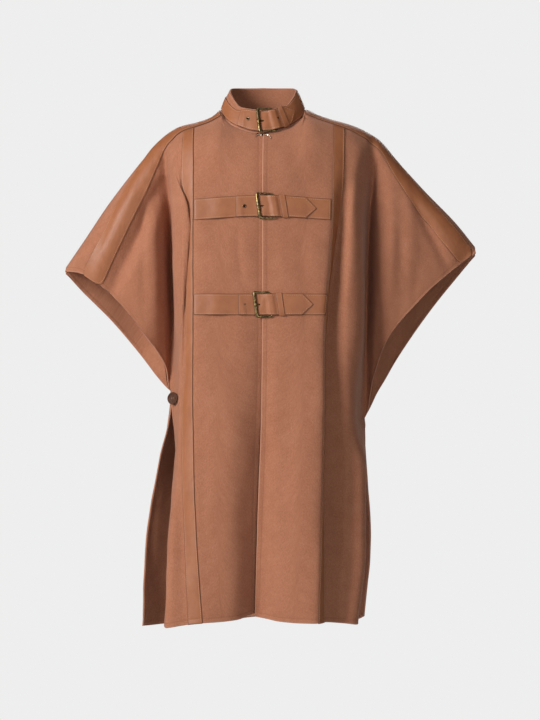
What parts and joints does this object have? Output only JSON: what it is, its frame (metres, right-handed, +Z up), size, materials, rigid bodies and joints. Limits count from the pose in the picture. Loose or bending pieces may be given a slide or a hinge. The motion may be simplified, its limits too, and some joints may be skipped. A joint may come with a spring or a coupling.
{
  "type": "poncho",
  "caption": "Knee-length wool poncho with wide short wings, a stand collar, buckled leather straps across the open front and flat leather strips along the fronts and shoulders.",
  "frame": {"origin": "at the wearer's neck, midway between the side neck points and level with them, just above the shoulder line", "axes": "+X to the wearer's left, the front faces -Y, +Z up along the body"},
  "size_m": [0.8234, 0.3268, 1.0898],
  "materials": {
    "wool": "brushed double-faced wool, matte",
    "leather": "smooth tan leather, soft sheen",
    "brass": "aged, satin",
    "button": "polished horn look"
  },
  "bodies": {
    "root": {"front_right": "wool", "front_left": "wool", "back": "wool", "collar": "wool", "collar_band": "leather", "strip_right": "leather", "strip_left": "leather", "shoulder_strip_right": "leather", "shoulder_strip_left": "leather", "chest_base_right": "leather", "chest_base_left": "leather", "chest_tongue": "leather", "chest_keeper": "leather", "waist_base_right": "leather", "waist_base_left": "leather", "waist_tongue": "leather", "waist_keeper": "leather", "collar_tongue": "leather", "collar_keeper": "leather", "collar_frame": "brass", "chest_frame": "brass", "waist_frame": "brass", "collar_prong": "brass", "chest_prong": "brass", "waist_prong": "brass", "collar_eyelet": "brass", "chest_eyelet": "brass", "hook": "brass", "eye": "brass", "button_right": "button", "button_left": "button"}
  },
  "joints": []
}
